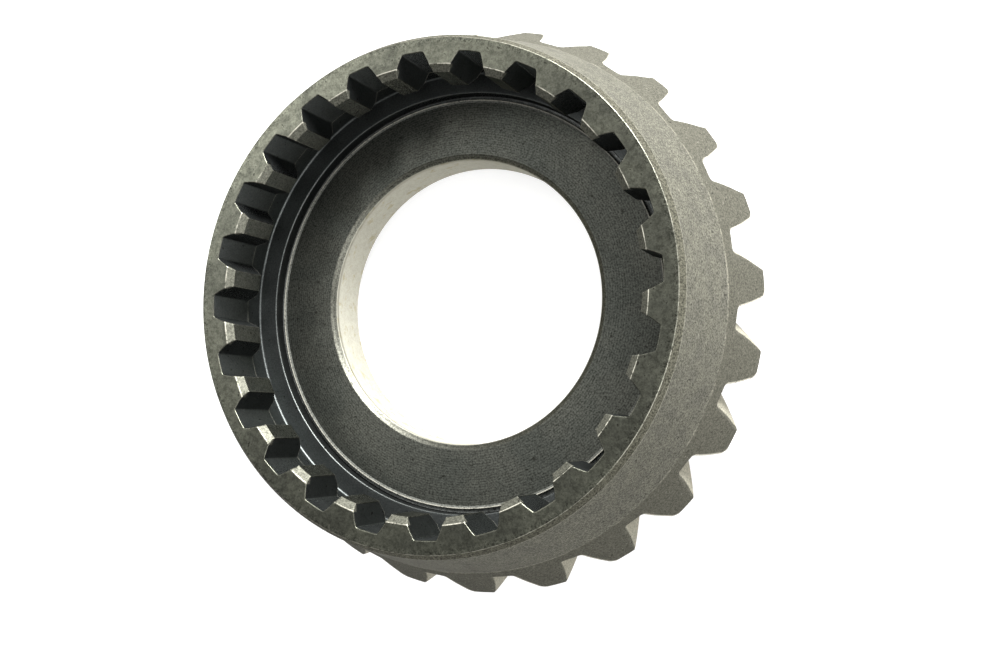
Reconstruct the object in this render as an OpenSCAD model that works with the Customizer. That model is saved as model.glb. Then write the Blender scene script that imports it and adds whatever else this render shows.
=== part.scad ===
// Spiral bevel drive gear with an internally splined front rim.
// The gear lies on the small ends of its teeth, with the splined rim on top.
// Lengths are millimetres. Depths are measured down from the front face.

/* [Front rim] */
// Diameter of the flat front face
face_d = 66.8; // [66.4:0.1:67.4]
// Width of the chamfer round the front face, measured along the radius
rim_chamfer_w = 0.65; // [0.3:0.05:0.9]
// Height of that chamfer
rim_chamfer_h = 1.1; // [0.6:0.1:2]
// Depth of the line where the rim ends and the back cone of the teeth begins
rim_depth = 12.3; // [10.5:0.1:13]

/* [Bevel teeth] */
// Number of bevel teeth
teeth = 24; // [20:1:28]
// Number of teeth on the mating pinion, which sets the cone angle at a right-angle drive
mate_teeth = 11; // [10:1:12]
// Pitch diameter at the large end of the teeth
pitch_d = 78.8; // [78.4:0.1:79.6]
// Depth of the large pitch circle
pitch_depth = 17.9; // [17.4:0.1:18.4]
// Height of a tooth above the pitch cone at the large end
addendum = 2; // [1.4:0.05:2.2]
// Depth of a tooth space below the pitch cone at the large end
dedendum = 4; // [3.4:0.05:4.2]
// Length of the teeth along the pitch cone
face_width = 12.5; // [10:0.5:13]
// Pressure angle of the flanks, in degrees
pressure_angle = 20; // [17:0.5:23]
// Spiral angle half way along the teeth, in degrees
spiral_angle = 38; // [25:1:42]
// Radius of the cutter that sweeps the curved tooth spaces
cutter_r = 57; // [45:1:80]
// Width of a tooth at the large pitch circle, along the arc
tooth_w = 4.9; // [4.4:0.05:5.2]
// Radius of the fillet at the bottom of a tooth space
root_fillet = 0.6; // [0.2:0.05:0.7]
// Radius that rounds the tip over each tooth's clockwise flank, seen from the front, at the large end
tip_round = 1.6; // [0.5:0.1:1.8]
// Radius that rounds the tip over the other flank
tip_edge = 0.35; // [0.2:0.05:0.6]
// Width of the broken edge at the large end of each tooth, along that other flank
heel_break = 0.3; // [0.1:0.05:0.5]

/* [Internal spline] */
// Number of internal spline teeth
spline_teeth = 24; // [20:1:28]
// Pitch diameter of the spline
spline_pitch_d = 60; // [59.6:0.1:60.4]
// Diameter across the tips of the spline teeth
spline_tip_d = 57.8; // [57.2:0.1:58.4]
// Diameter across the bottoms of the spline spaces
spline_root_d = 63.2; // [62.6:0.1:63.6]
// Pressure angle of the spline flanks, in degrees
spline_pressure_angle = 25; // [20:1:28]
// Width of a spline space at the pitch circle, along the arc
spline_space_w = 4.54; // [4.2:0.02:4.7]
// Turn of the spline spaces against the bevel teeth, in degrees
spline_turn = 0.4; // [0:0.1:15]
// Length of the spline teeth
spline_depth = 8.8; // [7.5:0.1:9.5]
// Chamfer on the front end of the spline teeth, measured along the radius
spline_chamfer_w = 0.9; // [0.5:0.05:1.2]
// Depth of that front chamfer
spline_chamfer_h = 0.8; // [0.4:0.05:1.2]
// Chamfer on the rear end of the spline teeth
spline_rear_chamfer = 1.4; // [0.8:0.1:1.6]

/* [Recess] */
// Diameter of the relief groove behind the spline
relief_d = 64.4; // [64:0.1:65]
// Depth of the ledge at the bottom of the relief groove
ledge_depth = 12.9; // [12:0.1:13.2]
// Outer diameter of the narrow ring groove between ledge and floor
ring_outer_d = 58.5; // [58.3:0.1:59]
// Inner diameter of the ring groove
ring_inner_d = 57.2; // [56.4:0.1:57.6]
// Depth of the bottom of the ring groove
ring_depth = 14.8; // [14.5:0.1:15.2]
// Depth of the flat floor
floor_depth = 14.2; // [13.8:0.1:14.4]

/* [Bore] */
// Diameter of the bore
bore_d = 40; // [38:0.1:41]
// Chamfer at the front end of the bore, measured along the radius
bore_chamfer = 0.7; // [0.4:0.1:1]
// Chamfer at the rear end of the bore
bore_rear_chamfer = 0.8; // [0.4:0.1:1]
// Depth of the flat rear face
rear_depth = 22.2; // [21.8:0.1:22.6]

/* [Hidden] */
$fn = 180;

// Slack that carries a cutting shape past the surface that it cuts
past = 1;

// Pitch cone, from its apex on the axis below the gear
pitch_cone = atan(teeth / mate_teeth);
cone_len = pitch_d / 2 / sin(pitch_cone);
apex_depth = pitch_depth + pitch_d / 2 / tan(pitch_cone);
toe_scale = (cone_len - face_width) / cone_len;

// Radius and depth of a point a given height above the pitch cone, at a share of the cone's length
function cone_point(share, height) = [
    share * pitch_d / 2 + height * cos(pitch_cone),
    apex_depth - share * (apex_depth - pitch_depth) + height * sin(pitch_cone)];

heel_tip = cone_point(1, addendum);
toe_tip = cone_point(toe_scale, addendum * toe_scale);
height = toe_tip[1];

// Radius on a line through a point, at another depth, for a cone of a given half angle
function radius_at(point, depth, half_angle) = point[0] + (depth - point[1]) * tan(half_angle);

back_cone = 90 - pitch_cone;
rim_edge_r = radius_at(heel_tip, rim_depth, back_cone);
toe_edge_r = radius_at(toe_tip, rear_depth, back_cone);

// Involute function, in degrees
function inv(angle) = tan(angle) * 180 / PI - angle;

// Half angle of an internal spline space at a radius
function spline_half_angle(r) = spline_space_w / spline_pitch_d * 180 / PI
    + inv(spline_pressure_angle) - inv(acos(spline_pitch_d / 2 * cos(spline_pressure_angle) / r));

// A point from radius and angle
function polar(r, a) = [r * cos(a), r * sin(a)];

// Outline of one spline space: up one flank, across the bottom, down the other flank
spline_steps = 5;
spline_corner = 0.3;
spline_root_r = spline_root_d / 2;
spline_flank_r = [for (i = [0 : spline_steps])
    spline_tip_d / 2 + (spline_root_r - spline_corner - spline_tip_d / 2) * i / spline_steps];
spline_bottom_a = spline_half_angle(spline_root_r) - spline_corner / spline_root_r * 180 / PI;
spline_outline = concat(
    [polar(spline_tip_d / 2 - past, -spline_half_angle(spline_tip_d / 2))],
    [for (r = spline_flank_r) polar(r, -spline_half_angle(r))],
    [for (i = [-2 : 2]) polar(spline_root_r, spline_bottom_a * i / 2)],
    [for (i = [spline_steps : -1 : 0]) polar(spline_flank_r[i], spline_half_angle(spline_flank_r[i]))],
    [polar(spline_tip_d / 2 - past, spline_half_angle(spline_tip_d / 2))]);

// Bevel tooth space, drawn on the back cone laid flat, where it is the space of a larger spur gear
flat_pitch_r = pitch_d / 2 / cos(pitch_cone);
flat_root_r = flat_pitch_r - dedendum;
space_half_w = pitch_d * PI / teeth / 2 - tooth_w / 2;

// Half angle of the space on the flat cone at a radius
function flat_half_angle(r) = space_half_w / flat_pitch_r * 180 / PI
    + inv(acos(flat_pitch_r * cos(pressure_angle) / r)) - inv(pressure_angle);

flank_steps = 3;
fillet_steps = 2;
tip_r = flat_pitch_r + addendum;
tip_x = tip_r * sin(flat_half_angle(tip_r));
flank_low_r = flat_root_r + root_fillet * (1 - sin(pressure_angle));
flank_low_x = flank_low_r * sin(flat_half_angle(flank_low_r));
fillet_x = flank_low_x - root_fillet * cos(pressure_angle);

// Lean of the flank at the tip, and the slope at which the rounding leaves the tip to run on above it
tip_lean = acos(flat_pitch_r * cos(pressure_angle) / tip_r) + flat_half_angle(tip_r);
leave_slope = 20;
leave_rise = 0.4;

// One side of the outline, from above the tip down to the bottom, as distance from the middle and height over
// the pitch line: run-out, rounded tip, flank, root fillet
function space_side(round_r, round_steps) =
    let (mid = [tip_x + round_r * (1 - sin(tip_lean)) / cos(tip_lean), addendum - round_r],
         top_r = tip_r - round_r * (1 - sin(tip_lean)),
         run_on = (leave_rise + round_r * (1 - cos(leave_slope))) / sin(leave_slope))
    concat(
        [mid + round_r * [-sin(leave_slope), cos(leave_slope)]
            + run_on * [cos(leave_slope), sin(leave_slope)]],
        [for (i = [0 : round_steps])
            let (a = 90 + leave_slope + (90 - tip_lean - leave_slope) * i / round_steps)
            mid + round_r * [cos(a), sin(a)]],
        [for (i = [1 : flank_steps])
            let (r = top_r + (flank_low_r - top_r) * i / flank_steps)
            [r * sin(flat_half_angle(r)), r * cos(flat_half_angle(r)) - flat_pitch_r]],
        [for (i = [1 : fillet_steps])
            let (a = pressure_angle + (90 - pressure_angle) * i / fillet_steps)
            [fillet_x + root_fillet * cos(a), root_fillet * (1 - sin(a)) - dedendum]]);
space_left = space_side(tip_edge, 1);
space_outline = concat(
    space_side(tip_round, 3),
    [for (i = [len(space_left) - 1 : -1 : 0]) [-space_left[i][0], space_left[i][1]]]);

// Course of a tooth space: the cutter's circle seen on the pitch cone laid flat
mean_len = cone_len - face_width / 2;
cutter_offset = sqrt(mean_len * mean_len + cutter_r * cutter_r - 2 * mean_len * cutter_r * sin(spiral_angle));
function course(len) = acos((len * len + cutter_offset * cutter_offset - cutter_r * cutter_r)
    / (2 * len * cutter_offset));
function turn_at(len) = (course(len) - course(cone_len)) / sin(pitch_cone);

// One ring of points of the space, at a length along the pitch cone, with one side moved out by a flare
function space_ring(len, flare) = [for (p = space_outline)
    let (share = len / cone_len,
         x = p[0] < 0 ? p[0] - flare : p[0],
         a = atan(x / (flat_pitch_r + p[1])) / cos(pitch_cone) + turn_at(len),
         at = cone_point(share, p[1] * share))
    [at[0] * cos(a), at[0] * sin(a), height - at[1]]];

// Sections along a space, from just outside the large end, over the broken edge, to clear of the small end
space_rings = 5;
space_run_out = 5;
space_from = cone_len - heel_break;
space_to = cone_len - face_width - space_run_out;
module bevel_space() {
    n = len(space_outline);
    points = concat(
        space_ring(cone_len + past, heel_break + past),
        [for (k = [0 : space_rings])
            each space_ring(space_from + (space_to - space_from) * k / space_rings, 0)]);
    sides = [for (k = [0 : space_rings]) for (i = [0 : n - 1])
        let (a = k * n + i, b = k * n + (i + 1) % n) each [[a, b, b + n], [a, b + n, a + n]]];
    first = [for (i = [n - 1 : -1 : 0]) i];
    last = [for (i = [0 : n - 1]) (space_rings + 1) * n + i];
    polyhedron(points, concat(sides, [first], [last]));
}

// Section of the turned blank, from the bore round the rear to the front and back along the recess
blank_section = [for (p = [
    [bore_d / 2, rear_depth - bore_rear_chamfer],
    [bore_d / 2 + bore_rear_chamfer, rear_depth],
    [toe_edge_r, rear_depth],
    toe_tip,
    heel_tip,
    [rim_edge_r, rim_depth],
    [face_d / 2 + rim_chamfer_w, rim_chamfer_h],
    [face_d / 2, 0],
    [spline_tip_d / 2 + spline_chamfer_w, 0],
    [spline_tip_d / 2, spline_chamfer_h],
    [spline_tip_d / 2, spline_depth - spline_rear_chamfer],
    [spline_tip_d / 2 + spline_rear_chamfer, spline_depth],
    [relief_d / 2, spline_depth],
    [relief_d / 2, ledge_depth],
    [ring_outer_d / 2, ledge_depth],
    [ring_outer_d / 2, ring_depth],
    [ring_inner_d / 2, ring_depth],
    [ring_inner_d / 2, floor_depth],
    [bore_d / 2 + bore_chamfer, floor_depth],
    [bore_d / 2, floor_depth + bore_chamfer]]) [p[0], height - p[1]]];

module blank() {
    rotate_extrude() polygon(blank_section);
}

module spline_spaces() {
    cut_depth = (spline_depth + ledge_depth) / 2;
    for (i = [0 : spline_teeth - 1])
        rotate([0, 0, i * 360 / spline_teeth + spline_turn])
            translate([0, 0, height - cut_depth])
                linear_extrude(cut_depth + past) polygon(spline_outline);
}

module bevel_spaces() {
    for (i = [0 : teeth - 1]) rotate([0, 0, (i + 0.5) * 360 / teeth]) bevel_space();
}

module drive_gear() {
    color([0.5, 0.51, 0.47]) difference() {
        blank();
        spline_spaces();
        bevel_spaces();
    }
}

drive_gear();
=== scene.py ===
"""A front drive gear lying on a plain pale floor: splined rim up, spiral bevel teeth down."""

import math

import bpy
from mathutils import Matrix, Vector


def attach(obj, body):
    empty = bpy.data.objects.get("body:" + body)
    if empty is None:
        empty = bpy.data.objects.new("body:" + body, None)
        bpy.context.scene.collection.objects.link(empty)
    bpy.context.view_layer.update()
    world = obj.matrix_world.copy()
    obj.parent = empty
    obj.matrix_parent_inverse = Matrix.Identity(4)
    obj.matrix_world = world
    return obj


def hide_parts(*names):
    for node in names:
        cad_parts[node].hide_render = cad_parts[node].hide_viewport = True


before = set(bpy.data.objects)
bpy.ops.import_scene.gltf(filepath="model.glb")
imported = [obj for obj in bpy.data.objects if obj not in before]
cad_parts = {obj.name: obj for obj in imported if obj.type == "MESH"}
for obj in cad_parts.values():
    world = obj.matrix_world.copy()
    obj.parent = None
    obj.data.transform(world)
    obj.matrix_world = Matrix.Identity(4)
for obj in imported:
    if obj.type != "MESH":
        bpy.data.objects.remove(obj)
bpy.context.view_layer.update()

MM = 0.001

# Sizes of the gear in millimetres, as in the part's own source. Depths run down from the front face.
TEETH = 24
MATE_TEETH = 11
PITCH_D = 78.8
PITCH_DEPTH = 17.9
ADDENDUM = 2.0
DEDENDUM = 4.0
FACE_WIDTH = 12.5
PRESSURE = math.radians(20)
SPIRAL = math.radians(38)
CUTTER_R = 57.0
TOOTH_W = 4.9
ROOT_FILLET = 0.6
TIP_ROUND = 1.6
TIP_EDGE = 0.35

SPLINES = 24
SPLINE_PITCH_R = 30.0
SPLINE_TIP_R = 28.9
SPLINE_ROOT_R = 31.6
SPLINE_PRESSURE = math.radians(25)
SPLINE_SPACE_W = 4.54
SPLINE_TURN = math.radians(0.4)
SPLINE_CORNER = 0.3
SPLINE_DEPTH = 8.8
SPLINE_CUT_DEPTH = 10.85
SPLINE_CHAMFER_W = 0.9
SPLINE_CHAMFER_H = 0.8
SPLINE_CHAMFER_R = SPLINE_TIP_R + SPLINE_CHAMFER_W
SPLINE_REAR_CHAMFER = 1.4

FACE_R = 33.4
RIM_R = 34.05
RIM_CHAMFER_H = 1.1
RIM_DEPTH = 12.3
RELIEF_R = 32.2
LEDGE_DEPTH = 12.9
RING_OUTER_R = 29.25
RING_INNER_R = 28.6
RING_DEPTH = 14.8
FLOOR_DEPTH = 14.2
LIP_W = 0.4
LIP_H = 0.22
LIP_INNER_R = RING_INNER_R - LIP_W
BORE_R = 20.0
BORE_CHAMFER = 0.7
BORE_REAR_CHAMFER = 0.8
REAR_DEPTH = 22.2
REAR_R = 28.0

# How finely the shapes are drawn
AROUND = 288
CORNER_STEPS = 3
FLANK_STEPS = 8
FILLET_STEPS = 4
TIP_ROUND_STEPS = 7
TIP_EDGE_STEPS = 3
SPACE_STEPS = 18
SMOOTH_ANGLE = math.radians(38)

# Rounding of the edges that the cutting shapes leave: machined edges, and the broken edge of the large ends
CUT_EDGE_R = 0.14
HEEL_EDGE_R = 0.45

PITCH_CONE = math.atan(TEETH / MATE_TEETH)
CONE_LEN = PITCH_D / 2 / math.sin(PITCH_CONE)
APEX_DEPTH = PITCH_DEPTH + PITCH_D / 2 / math.tan(PITCH_CONE)
TOE_SHARE = (CONE_LEN - FACE_WIDTH) / CONE_LEN


def cone_point(share, height):
    """Radius and depth of a point a given height above the pitch cone, at a share of the cone's length."""
    return (
        share * PITCH_D / 2 + height * math.cos(PITCH_CONE),
        APEX_DEPTH - share * (APEX_DEPTH - PITCH_DEPTH) + height * math.sin(PITCH_CONE),
    )


HEEL_TIP = cone_point(1, ADDENDUM)
TOE_TIP = cone_point(TOE_SHARE, ADDENDUM * TOE_SHARE)
HEIGHT = TOE_TIP[1]


def back_cone_r(point, depth):
    """Radius at another depth on the back cone through a point."""
    return point[0] + (depth - point[1]) / math.tan(PITCH_CONE)


CREASE_R = back_cone_r(HEEL_TIP, RIM_DEPTH)
TOE_EDGE_R = back_cone_r(TOE_TIP, REAR_DEPTH)


def corner_arc(before, corner, after, radius):
    """Points that round off one corner of a line: an arc of the given radius, where there is room for it."""
    p, a, b = Vector(corner), Vector(before), Vector(after)
    to_a, to_b = (a - p).normalized(), (b - p).normalized()
    half = to_a.angle(to_b) / 2
    reach = min(radius / math.tan(half), 0.45 * (a - p).length, 0.45 * (b - p).length)
    radius = reach * math.tan(half)
    centre = p + (to_a + to_b).normalized() * (radius / math.sin(half))
    start, end = p + to_a * reach - centre, p + to_b * reach - centre
    turn = start.angle_signed(end)
    arc = []
    for k in range(CORNER_STEPS + 1):
        angle = -turn * k / CORNER_STEPS
        c, s = math.cos(angle), math.sin(angle)
        arc.append((centre.x + start.x * c - start.y * s, centre.y + start.x * s + start.y * c))
    return arc


def mesh_object(name, points, faces):
    """An object from points in millimetres."""
    mesh = bpy.data.meshes.new(name)
    mesh.from_pydata([[c * MM for c in p] for p in points], [], faces)
    mesh.validate()
    made = bpy.data.objects.new(name, mesh)
    bpy.context.scene.collection.objects.link(made)
    return made


# The turned blank: radius, depth and edge rounding of each corner of its section

SECTION = [
    (BORE_R, REAR_DEPTH - BORE_REAR_CHAMFER, 0.12),
    (BORE_R + BORE_REAR_CHAMFER, REAR_DEPTH, 0.12),
    (TOE_EDGE_R, REAR_DEPTH, 0.1),
    (*TOE_TIP, 0.12),
    (*HEEL_TIP, 0.14),
    (CREASE_R, RIM_DEPTH, 0.5),
    (RIM_R, RIM_CHAMFER_H, 0.25),
    (FACE_R, 0, 0.14),
    (SPLINE_CHAMFER_R, 0, 0.16),
    (SPLINE_TIP_R, SPLINE_CHAMFER_H, 0.12),
    (SPLINE_TIP_R, SPLINE_DEPTH - SPLINE_REAR_CHAMFER, 0.1),
    (SPLINE_TIP_R + SPLINE_REAR_CHAMFER, SPLINE_DEPTH, 0.08),
    (RELIEF_R, SPLINE_DEPTH, 0.2),
    (RELIEF_R, LEDGE_DEPTH, 0.35),
    (RING_OUTER_R, LEDGE_DEPTH, 0.2),
    (RING_OUTER_R, RING_DEPTH, 0.15),
    (RING_INNER_R, RING_DEPTH, 0.15),
    (RING_INNER_R, FLOOR_DEPTH - LIP_H, 0.06),
    (LIP_INNER_R, FLOOR_DEPTH, 0.2),
    (BORE_R + BORE_CHAMFER, FLOOR_DEPTH, 0.1),
    (BORE_R, FLOOR_DEPTH + BORE_CHAMFER, 0.1),
]


def turned_blank():
    """The blank as a lathe cuts it: the rounded section swept round the axis."""
    section = []
    for i, (r, depth, edge) in enumerate(SECTION):
        section += corner_arc(SECTION[i - 1][:2], (r, depth), SECTION[(i + 1) % len(SECTION)][:2], edge)
    n = len(section)
    points, faces = [], []
    for k in range(AROUND):
        angle = 2 * math.pi * k / AROUND
        points += [(r * math.cos(angle), r * math.sin(angle), HEIGHT - depth) for r, depth in section]
        here, there = k * n, (k + 1) % AROUND * n
        faces += [(here + i, there + i, there + (i + 1) % n, here + (i + 1) % n) for i in range(n)]
    return mesh_object("turned_blank", points, faces)


# The cutting shapes for the tooth spaces and the spline spaces

def swept(name, rings):
    """A closed solid through rings of points, each ring running the same way round."""
    n = len(rings[0])
    points = [p for ring in rings for p in ring]
    faces = [
        (k * n + i, k * n + (i + 1) % n, (k + 1) * n + (i + 1) % n, (k + 1) * n + i)
        for k in range(len(rings) - 1) for i in range(n)
    ]
    faces += [tuple(range(n - 1, -1, -1)), tuple((len(rings) - 1) * n + i for i in range(n))]
    return mesh_object(name, points, faces)


def involute(angle):
    """The involute function of a pressure angle."""
    return math.tan(angle) - angle


def step(value, low, high):
    """From 0 at low to 1 at high."""
    return min(1, max(0, (value - low) / (high - low)))


def widened(outline, amount_at):
    """The outline moved outwards by an amount that depends on the point."""
    n = len(outline)
    moved = []
    for i, (x, y) in enumerate(outline):
        (x0, y0), (x1, y1) = outline[max(i - 1, 0)], outline[min(i + 1, n - 1)]
        length = math.hypot(x1 - x0, y1 - y0)
        push = amount_at(x, y) / length
        moved.append((x - (y1 - y0) * push, y + (x1 - x0) * push))
    return moved


# Where a cutting shape leaves a surface it flares in an arc, which rounds the edge that it leaves.
# It starts clear of the surface, and its arc runs on a little wider just outside.
FLARE_ANGLES = (75, 50, 25, 0)
FLARE_END = 0.5
FLARE_PASTS = [1, 0.1]


def arc_inside(radius):
    """Places along a cut, as distances past the surface, at which a rounded edge is drawn."""
    return [radius * (math.sin(math.radians(a)) - 1) for a in FLARE_ANGLES]


def flare(past, radius):
    """Widening of the cut at a distance past the surface."""
    if past > 0:
        return radius + FLARE_END
    angle = math.asin(min(math.sin(math.radians(FLARE_ANGLES[0])), max(0, 1 + past / radius)))
    return radius * (1 - math.cos(angle))


FLAT_PITCH_R = PITCH_D / 2 / math.cos(PITCH_CONE)
SPACE_HALF_W = (PITCH_D * math.pi / TEETH - TOOTH_W) / 2

# How far a tooth space runs on above the tips, the angle at which its rounded side leaves them, how far it
# runs on past the small ends, and the height below the tips over which its flare fades out
SPACE_ABOVE = 0.25
SPACE_LEAVE = math.radians(12)
SPACE_PAST_TOE = 5
TIP_FADE = 0.4


def bevel_half_angle(r):
    """Half angle of a bevel tooth space at a radius on the back cone laid flat."""
    at = math.acos(FLAT_PITCH_R * math.cos(PRESSURE) / r)
    return SPACE_HALF_W / FLAT_PITCH_R + involute(at) - involute(PRESSURE)


def bevel_space_side(tip_round, steps):
    """One side of a tooth space on the back cone laid flat, as distances from the middle and heights."""
    tip_r = FLAT_PITCH_R + ADDENDUM
    tip_x = tip_r * math.sin(bevel_half_angle(tip_r))
    lean = math.acos(FLAT_PITCH_R * math.cos(PRESSURE) / tip_r) + bevel_half_angle(tip_r)
    mid = (tip_x + tip_round * (1 - math.sin(lean)) / math.cos(lean), ADDENDUM - tip_round)
    run_on = (SPACE_ABOVE + tip_round * (1 - math.cos(SPACE_LEAVE))) / math.sin(SPACE_LEAVE)
    top_x = mid[0] - tip_round * math.sin(SPACE_LEAVE) + run_on * math.cos(SPACE_LEAVE)
    side = [(top_x, ADDENDUM + SPACE_ABOVE)]
    for i in range(steps + 1):
        a = math.pi / 2 + SPACE_LEAVE + (math.pi / 2 - lean - SPACE_LEAVE) * i / steps
        side.append((mid[0] + tip_round * math.cos(a), mid[1] + tip_round * math.sin(a)))
    top_r = tip_r - tip_round * (1 - math.sin(lean))
    low_r = FLAT_PITCH_R - DEDENDUM + ROOT_FILLET * (1 - math.sin(PRESSURE))
    for i in range(1, FLANK_STEPS + 1):
        r = top_r + (low_r - top_r) * i / FLANK_STEPS
        side.append((r * math.sin(bevel_half_angle(r)), r * math.cos(bevel_half_angle(r)) - FLAT_PITCH_R))
    centre_x = side[-1][0] - ROOT_FILLET * math.cos(PRESSURE)
    for i in range(1, FILLET_STEPS + 1):
        a = PRESSURE + (math.pi / 2 - PRESSURE) * i / FILLET_STEPS
        side.append((centre_x + ROOT_FILLET * math.cos(a), ROOT_FILLET * (1 - math.sin(a)) - DEDENDUM))
    return side


def course(length):
    """Angle along which the cutter's circle runs on the pitch cone laid flat."""
    mean = CONE_LEN - FACE_WIDTH / 2
    offset = math.sqrt(mean ** 2 + CUTTER_R ** 2 - 2 * mean * CUTTER_R * math.sin(SPIRAL))
    return math.acos((length ** 2 + offset ** 2 - CUTTER_R ** 2) / (2 * length * offset))


def bevel_space():
    """The solid that a face mill takes out between two bevel teeth, flared where it leaves the back cone."""
    outline = bevel_space_side(TIP_ROUND, TIP_ROUND_STEPS)
    outline += [(-x, y) for x, y in reversed(bevel_space_side(TIP_EDGE, TIP_EDGE_STEPS))]
    pasts = FLARE_PASTS + sorted(arc_inside(CUT_EDGE_R) + arc_inside(HEEL_EDGE_R), reverse=True)
    lengths = [CONE_LEN + past for past in pasts]
    end = CONE_LEN - FACE_WIDTH - SPACE_PAST_TOE
    lengths += [lengths[-1] + (end - lengths[-1]) * k / SPACE_STEPS for k in range(1, SPACE_STEPS + 1)]
    rings = []
    for length in lengths:
        share = length / CONE_LEN
        turn = (course(length) - course(CONE_LEN)) / math.sin(PITCH_CONE)
        fine, broad = flare(length - CONE_LEN, CUT_EDGE_R), flare(length - CONE_LEN, HEEL_EDGE_R)

        def widening(x, y):
            """Fine beside the well rounded tips, broad on the other flank, and none at the tips."""
            near_tip = step(y, ADDENDUM - TIP_FADE, ADDENDUM)
            return (broad + (fine - broad) * step(x, -1, 1)) * (1 - near_tip)

        ring = []
        for x, y in widened(outline, widening):
            a = math.atan(x / (FLAT_PITCH_R + y)) / math.cos(PITCH_CONE) + turn
            r, depth = cone_point(share, y * share)
            ring.append((r * math.cos(a), r * math.sin(a), HEIGHT - depth))
        rings.append(ring)
    return swept("bevel_space", rings[::-1])


# How far a spline space opens out, sideways and inwards, inside the tips of the splines
SPLINE_MOUTH_W = 0.8
SPLINE_MOUTH_H = 0.2


def spline_half_angle(r):
    """Half angle of a spline space at a radius."""
    at = math.acos(SPLINE_PITCH_R * math.cos(SPLINE_PRESSURE) / r)
    return SPLINE_SPACE_W / 2 / SPLINE_PITCH_R + involute(SPLINE_PRESSURE) - involute(at)


def spline_space():
    """The solid taken out between two spline teeth, flared where it leaves the front face."""
    def polar(r, a):
        return (r * math.cos(a), r * math.sin(a))

    top = SPLINE_ROOT_R - SPLINE_CORNER
    flanks = [SPLINE_TIP_R + (top - SPLINE_TIP_R) * i / FLANK_STEPS for i in range(FLANK_STEPS + 1)]
    flanks = [polar(r, spline_half_angle(r)) for r in flanks]
    mouth_a = spline_half_angle(SPLINE_TIP_R) + SPLINE_MOUTH_W / SPLINE_TIP_R
    beside = polar(SPLINE_TIP_R - SPLINE_MOUTH_H, mouth_a)
    half = [beside] + corner_arc(beside, flanks[0], flanks[1], CUT_EDGE_R) + flanks[1:-1]
    root_a = spline_half_angle(SPLINE_ROOT_R)
    half += corner_arc(flanks[-2], polar(SPLINE_ROOT_R, root_a), polar(SPLINE_ROOT_R, 0), SPLINE_CORNER)
    half += [polar(SPLINE_ROOT_R, root_a * share) for share in (0.6, 0.3)]
    outline = half + [polar(SPLINE_ROOT_R, 0)] + [(x, -y) for x, y in reversed(half)]

    def front(x, y):
        """Depth of the blank's front at a point: the face, or the chamfer on the splines' ends."""
        return max(0, SPLINE_CHAMFER_R - math.hypot(x, y)) * SPLINE_CHAMFER_H / SPLINE_CHAMFER_W

    rings = []
    for past in FLARE_PASTS + arc_inside(CUT_EDGE_R):
        wide = flare(past, CUT_EDGE_R)
        moved = widened(outline, lambda x, y: wide * step(math.hypot(x, y), SPLINE_TIP_R, SPLINE_TIP_R + 0.3))
        rings.append([(x, y, HEIGHT - front(x, y) + past) for x, y in moved])
    rings.append([(x, y, HEIGHT - SPLINE_CUT_DEPTH) for x, y in outline])
    return swept("spline_space", rings)


# Node trees

class Value:
    """A node's output that takes part in Python sums, each of which adds a Math node."""

    def __init__(self, graph, socket):
        self.graph, self.socket = graph, socket

    def __add__(self, other):
        return self.graph.math("ADD", self, other)

    def __radd__(self, other):
        return self.graph.math("ADD", other, self)

    def __sub__(self, other):
        return self.graph.math("SUBTRACT", self, other)

    def __rsub__(self, other):
        return self.graph.math("SUBTRACT", other, self)

    def __mul__(self, other):
        return self.graph.math("MULTIPLY", self, other)

    def __rmul__(self, other):
        return self.graph.math("MULTIPLY", other, self)

    def __truediv__(self, other):
        return self.graph.math("DIVIDE", self, other)

    def __pow__(self, other):
        return self.graph.math("POWER", self, other)


class Graph:
    """One node tree and the ways to add to it."""

    def __init__(self, tree):
        self.tree = tree

    def add(self, kind, inputs=None, out=0, **settings):
        """A node: its settings, then the values or links of its sockets. Gives the outputs asked for."""
        node = self.tree.nodes.new(kind)
        for name, value in settings.items():
            setattr(node, name, value)
        for key, value in (inputs or {}).items():
            for one in value if isinstance(value, list) else [value]:
                if isinstance(one, Value):
                    self.tree.links.new(one.socket, node.inputs[key])
                else:
                    node.inputs[key].default_value = one
        if isinstance(out, tuple):
            return tuple(Value(self, node.outputs[o]) for o in out)
        return Value(self, node.outputs[out]) if node.outputs else None

    def math(self, operation, *values):
        """A Math node on values or numbers."""
        return self.add("ShaderNodeMath", dict(enumerate(values)), operation=operation)


# The gear

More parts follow.
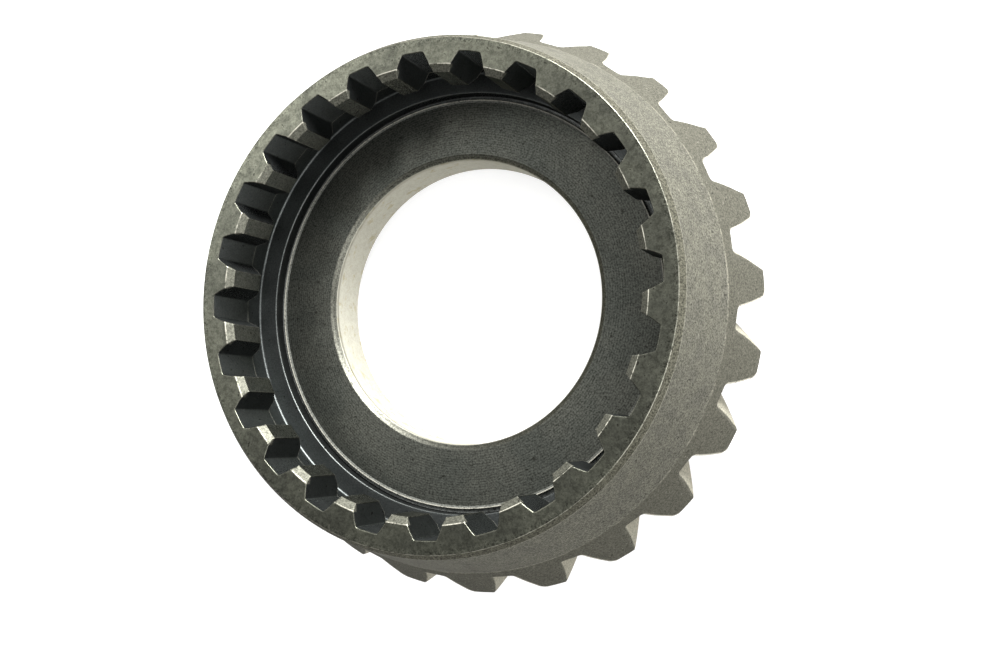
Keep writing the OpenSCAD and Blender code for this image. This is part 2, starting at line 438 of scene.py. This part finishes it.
def cut_gear_tree():
    """The tree that sets the cutting shapes round the axis and takes them out of the blank."""
    tree = bpy.data.node_groups.new("cut_gear", "GeometryNodeTree")
    kinds = {
        "Blank": "Geometry", "Bevel space": "Object", "Bevel teeth": "Int", "Spline space": "Object",
        "Splines": "Int", "Spline turn": "Float", "Finish": "Material",
    }
    for name, kind in kinds.items():
        tree.interface.new_socket(name, in_out="INPUT", socket_type="NodeSocket" + kind)
    tree.interface.new_socket("Gear", in_out="OUTPUT", socket_type="NodeSocketGeometry")
    graph = Graph(tree)
    blank, bevel, teeth, spline, splines, spline_turn, finish = graph.add("NodeGroupInput", out=tuple(kinds))

    def around(cutter, count, turn):
        """Copies of a cutting shape, evenly round the axis."""
        shape = graph.add("GeometryNodeObjectInfo", {"Object": cutter}, out="Geometry")
        places = graph.add("GeometryNodeMeshLine", {"Count": count, "Offset": (0, 0, 0)})
        angle = graph.add("GeometryNodeInputIndex") * (2 * math.pi) / count + turn
        rotation = graph.add("ShaderNodeCombineXYZ", {"Z": angle})
        sockets = {"Points": places, "Instance": shape, "Rotation": rotation}
        return graph.add("GeometryNodeInstanceOnPoints", sockets)

    cutters = [around(bevel, teeth, math.pi / TEETH), around(spline, splines, spline_turn)]
    sides = {"Mesh 1": blank, "Mesh 2": cutters}
    cut = graph.add("GeometryNodeMeshBoolean", sides, operation="DIFFERENCE", solver="MANIFOLD")
    solid = graph.add("GeometryNodeRealizeInstances", {"Geometry": cut})
    finished = graph.add("GeometryNodeSetMaterial", {"Geometry": solid, "Material": finish})
    graph.add("NodeGroupOutput", {"Gear": finished})
    return tree


def plain_mesh(made):
    """The evaluated object as a plain mesh, in place of its modifiers."""
    mesh = bpy.data.meshes.new_from_object(made.evaluated_get(bpy.context.evaluated_depsgraph_get()))
    made.modifiers.clear()
    made.data = mesh
    return mesh


def drive_gear(finish):
    """The gear: the blank with its spaces cut, shaded flat where it is flat and round at its rounded edges."""
    gear, bevel, spline = turned_blank(), bevel_space(), spline_space()
    gear.name = "splined_bevel_gear"
    tree = cut_gear_tree()
    cut = gear.modifiers.new("cut", "NODES")
    cut.node_group = tree
    settings = {
        "Bevel space": bevel, "Bevel teeth": TEETH, "Spline space": spline, "Splines": SPLINES,
        "Spline turn": SPLINE_TURN, "Finish": finish,
    }
    for item in tree.interface.items_tree:
        if item.name in settings:
            cut[item.identifier] = settings[item.name]
    mesh = plain_mesh(gear)
    for cutter in (bevel, spline):
        bpy.data.objects.remove(cutter)
    mesh.name = gear.name
    mesh.shade_smooth()
    mesh.set_sharp_from_angle(angle=SMOOTH_ANGLE)
    even = gear.modifiers.new("even", "WEIGHTED_NORMAL")
    even.keep_sharp = True
    plain_mesh(gear).name = gear.name
    return gear


# The finishes

def linear(*shade):
    """A colour as seen on screen, 0 to 255, as the amounts of light that the shader takes."""
    return tuple(c / 255 / 12.92 if c <= 10 else ((c / 255 + 0.055) / 1.055) ** 2.4 for c in shade) + (1,)


class Finish(Graph):
    """A material in the making."""

    def __init__(self, name):
        self.material = bpy.data.materials.new(name)
        self.material.use_nodes = True
        super().__init__(self.material.node_tree)
        self.tree.nodes.clear()
        self.place = self.add("ShaderNodeTexCoord", out="Object")

    def noise(self, scale, detail, roughness):
        """Noise of a scale in cycles for each millimetre, the same or different along X, Y and Z."""
        scale = (scale,) * 3 if isinstance(scale, (int, float)) else scale
        place = self.add("ShaderNodeMapping", {"Vector": self.place, "Scale": tuple(s / MM for s in scale)})
        sockets = {"Vector": place, "Scale": 1, "Detail": detail, "Roughness": roughness}
        return self.add("ShaderNodeTexNoise", sockets)

    def rise(self, value, low, high):
        """From 0 at low to 1 at high, smoothly."""
        ends = {"Value": value, "From Min": low, "From Max": high}
        return self.add("ShaderNodeMapRange", ends, interpolation_type="SMOOTHSTEP")

    def band(self, value, low, high, soft=0.05):
        """1 between two ends, 0 outside them."""
        return self.rise(value, low - soft, low + soft) * (1 - self.rise(value, high - soft, high + soft))

    def mix(self, under, over, share):
        """One colour over another."""
        sockets = {0: share, 6: under, 7: over}
        return self.add("ShaderNodeMix", sockets, out=2, data_type="RGBA", clamp_factor=True)

    def shade(self, colour, amount):
        """A colour made lighter or darker."""
        return self.add("ShaderNodeVectorMath", {0: colour, 3: amount}, operation="SCALE")

    def blend(self, under, over, share):
        """One number over another."""
        return under + (over - under) * share

    def finish(self, **sockets):
        """The material, from the values or links of its shader's sockets."""
        named = {key.replace("_", " "): value for key, value in sockets.items()}
        surface = self.add("ShaderNodeBsdfPrincipled", named)
        self.add("ShaderNodeOutputMaterial", {"Surface": surface})
        return self.material


TURNING_PITCH = 0.34
EDGE_WEAR_AND_HIGHLIGHT_REACH = 0.3
GRAIN_HEIGHT = 0.03


def gear_steel():
    """Case-hardened steel: dull turned face, blasted outside, dark inside, bright bore and tooth flanks."""
    f = Finish("gear_steel")
    x, y, z = f.add("ShaderNodeSeparateXYZ", {0: f.place}, out=("X", "Y", "Z"))
    x, y, depth = x / MM, y / MM, HEIGHT - z / MM
    r = (x * x + y * y) ** 0.5
    behind_heel = (depth - RIM_DEPTH) * math.cos(PITCH_CONE) - (r - CREASE_R) * math.sin(PITCH_CONE)

    # Where each finish lies
    face = 1 - f.rise(depth, 0.05, 0.15)
    below_face = 1 - face
    wide = f.rise(r, RELIEF_R + 0.4, RELIEF_R + 0.7)
    outer = f.math("MAXIMUM", wide, f.rise(depth, RING_DEPTH + 0.4, RING_DEPTH + 0.8))
    inner = 1 - outer
    turned = f.math("MAXIMUM", inner, face)
    rim_chamfer = 1 - f.rise(depth, RIM_CHAMFER_H - 0.05, RIM_CHAMFER_H + 0.05)
    rim_chamfer = rim_chamfer * f.rise(r, FACE_R - 0.1, FACE_R)
    crease_highlight = f.band(depth, RIM_DEPTH - 0.14, RIM_DEPTH + 0.14, 0.12)
    heel = outer * f.rise(depth, RIM_DEPTH - 0.1, RIM_DEPTH + 0.1)
    tooth_cut = outer * f.rise(behind_heel, 0.12, 0.3) * f.rise(depth, RIM_DEPTH - 0.3, RIM_DEPTH + 0.3)
    rear = f.rise(depth, REAR_DEPTH - 0.15, REAR_DEPTH - 0.05) * (1 - f.rise(r, REAR_R - 0.2, REAR_R + 0.2))
    spline_end = 1 - f.rise(depth, SPLINE_CHAMFER_H, SPLINE_CHAMFER_H + 0.1)
    spline_end = spline_end * (1 - f.rise(r, SPLINE_CHAMFER_R + 0.05, SPLINE_CHAMFER_R + 0.1))
    spline_wall = f.rise(r, SPLINE_TIP_R + 0.08, SPLINE_TIP_R + 0.2) * inner * (1 - spline_end)
    recess = (1 - f.rise(r, LIP_INNER_R, LIP_INNER_R + 0.2)) * inner
    lip = f.band(depth, FLOOR_DEPTH - 0.5, FLOOR_DEPTH + 0.05, 0.1)
    lip = lip * f.band(r, LIP_INNER_R, RING_INNER_R + 0.02)
    groove = inner * f.rise(depth, FLOOR_DEPTH + 0.2, FLOOR_DEPTH + 0.3)
    groove = groove * f.rise(r, RING_INNER_R - 0.6, RING_INNER_R - 0.5)
    bore = 1 - f.rise(r, BORE_R + 0.04, BORE_R + 0.12)
    bore_chamfer = f.band(r, BORE_R + 0.1, BORE_R + BORE_CHAMFER + 0.02) * inner

    # Patterns, from the broadest to the finest, then the marks
    cloud = f.noise(0.12, 4, 0.55)
    patch = f.noise(0.45, 5, 0.65)
    mottle = f.noise(1.3, 2, 0.6)
    grain = f.noise(4, 2, 0.8)
    fine = f.noise(8, 1, 0.5)
    pits = f.rise(mottle, 0.68, 0.71)
    scratches = f.rise(f.noise((3.5, 0.35, 3.5), 2, 0.6), 0.69, 0.73)
    stains = f.rise(f.noise((0.5, 0.5, 0.9), 3, 0.7), 0.56, 0.66)
    turning = f.math("SINE", r * (2 * math.pi / TURNING_PITCH))

    # Colours, each laid over those before it
    blasted = f.mix(linear(90, 89, 80), linear(81, 80, 73), f.rise(patch, 0.35, 0.7))
    floor = f.mix(linear(71, 73, 68), linear(79, 80, 74), f.rise(cloud, 0.35, 0.65))
    dull = f.mix(linear(88, 89, 79), linear(75, 76, 68), f.rise(cloud + (patch - 0.5) * 0.5, 0.38, 0.62))
    ground = f.mix(linear(168, 166, 154), linear(152, 146, 122), stains * 0.8)
    colour = blasted
    for over, share in (
        (linear(78, 77, 69), heel),
        # A painted highlight along the crease between the rim and the heel
        (linear(140, 137, 124), crease_highlight * outer * f.rise(patch, 0.4, 0.6) * 0.45),
        (linear(140, 137, 124), tooth_cut),
        (linear(73, 72, 63), rim_chamfer),
        (floor, inner),
        (linear(78, 81, 80), spline_wall),
        # The groove is painted lighter than the floor: painted light that offsets the shade in the groove
        (linear(92, 94, 92), groove),
        (linear(76, 77, 73), lip),
        (linear(82, 82, 74), spline_end * inner),
        (dull, face),
        (linear(86, 86, 79), bore_chamfer),
        (ground, bore),
        (linear(92, 92, 84), rear),
    ):
        colour = f.mix(colour, over, share)

    # Grain, turning marks, pits and scratches
    contrast = f.blend(f.blend(1, 0.95, turned), 0.1, bore)
    contrast = contrast - spline_wall * 0.5 + rim_chamfer * 0.4 - heel * 0.25
    speckle = (f.rise(grain, 0.3, 0.7) - 0.5) * contrast
    speckle = speckle + (f.rise(mottle, 0.35, 0.65) - 0.5) * (face * 0.36 + outer * 0.08)
    colour = f.shade(colour, 1 + speckle + turning * recess * 0.14)
    colour = f.mix(colour, linear(34, 33, 29), pits * 0.7 * (1 - bore))
    colour = f.mix(colour, linear(150, 147, 135), scratches * 0.45 * (1 - inner))

    # Painted highlights: bright lines where turned faces meet, and every sharp edge lighter, partly from wear
    # and partly painted highlight
    # Painted highlight lines along the face's edge with the spline chamfer, the face's outer edge and the rim
    # chamfer's lower edge
    line = f.band(r, SPLINE_CHAMFER_R - 0.06, SPLINE_CHAMFER_R + 0.08)
    line = line + f.band(r, FACE_R - 0.02, FACE_R + 0.04, 0.03) * 0.7
    line = line * (1 - f.rise(depth, 0.12, 0.2))
    rim_highlight_line = f.band(depth, RIM_CHAMFER_H - 0.02, RIM_CHAMFER_H + 0.12)
    rim_highlight_line = rim_highlight_line * f.rise(r, RIM_R - 0.25, RIM_R - 0.15)
    line = (line + rim_highlight_line * 0.3) * f.rise(patch + grain * 0.4, 0.5, 0.8) * 0.8
    # Every sharp edge lighter: partly edge wear, partly painted highlight
    near = {"Distance": EDGE_WEAR_AND_HIGHLIGHT_REACH * MM}
    edge = 1 - f.add("ShaderNodeAmbientOcclusion", near, out="AO", samples=8, inside=True, only_local=True)
    edge = f.rise(edge, 0.2, 0.5) * f.rise(grain + patch, 0.7, 1.0) * (1 - inner * 0.35)
    wear_and_highlight = f.math("MAXIMUM", line, edge * 0.85)
    colour = f.mix(colour, linear(176, 173, 160), wear_and_highlight)

    metal = f.blend(0.4, f.blend(1, 0.95, recess), turned)
    # The painted highlight and wear are made less metallic, so that every lamp lights them
    metal = metal * (1 - wear_and_highlight * 0.8) * (1 - lip * 0.7) * (1 - spline_end * below_face * 0.5)
    roughness = f.blend(0.7, 0.37, face)
    for over, share in ((0.44, inner * below_face), (0.5, spline_end * below_face), (0.62, bore)):
        roughness = f.blend(roughness, over, share)
    roughness = roughness + (patch - 0.5) * 0.15
    height = (grain * 0.6 + fine * 0.4) * f.blend(1, 0.5, turned) * (1 - bore * 0.8)
    raised = {"Strength": 0.8, "Distance": GRAIN_HEIGHT * MM, "Height": height}
    bumps = f.add("ShaderNodeBump", raised, out="Normal")
    return f.finish(
        Base_Color=colour, Metallic=metal, Roughness=roughness, Normal=bumps, Specular_IOR_Level=0.1,
        Specular_Tint=(0.2, 0.2, 0.19, 1),
    )


def floor_paint():
    """Pale paint that glows a little, so that the floor stays pale in the gear's shade."""
    return Finish("floor_paint").finish(
        Base_Color=linear(168, 168, 167), Roughness=0.7, Emission_Color=(1, 1, 1, 1), Emission_Strength=0.75
    )


gear = drive_gear(gear_steel())
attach(gear, "root")
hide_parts("drive_gear")


# Floor, light and camera

FLOOR_REACH = 2500
corners = [(s * FLOOR_REACH, t * FLOOR_REACH, 0) for s, t in ((-1, -1), (1, -1), (1, 1), (-1, 1))]
floor = mesh_object("floor", corners, [(0, 1, 2, 3)])
floor.data.materials.append(floor_paint())

world = bpy.data.worlds.new("studio")
world.use_nodes = True
background = world.node_tree.nodes["Background"]
background.inputs["Color"].default_value = (1, 1, 1, 1)
background.inputs["Strength"].default_value = 0.4
bpy.context.scene.world = world


def softbox(name, azimuth, elevation, distance, size, power):
    """A square area light that faces the gear, placed by direction in degrees and distance in metres."""
    light = bpy.data.lights.new(name, "AREA")
    light.energy, light.size = power, size
    made = bpy.data.objects.new(name, light)
    a, e = math.radians(azimuth), math.radians(elevation)
    made.location = distance * Vector((math.cos(a) * math.cos(e), math.sin(a) * math.cos(e), math.sin(e)))
    made.rotation_euler = made.location.to_track_quat("Z", "Y").to_euler()
    bpy.context.scene.collection.objects.link(made)


softbox("key", 61, 33, 0.6, 0.3, 17.4)
softbox("fill", 149, 49, 0.5, 0.2, 0.85)
softbox("front", -18, 66, 0.6, 0.3, 1)
softbox("low", -33, 32, 0.6, 0.3, 1.8)

lens = bpy.data.cameras.new("camera")
lens.lens, lens.sensor_width = 41.66, 36
lens.shift_x, lens.shift_y = 0.1, -0.0835
lens.clip_start = 0.005
camera = bpy.data.objects.new("camera", lens)
camera.location = (0.06145, -0.018916, 0.158927)
camera.rotation_euler = [math.radians(a) for a in (8.752, 25.580, -1.078)]
bpy.context.scene.collection.objects.link(camera)
bpy.context.scene.camera = camera
bpy.context.scene.view_settings.view_transform = "Standard"
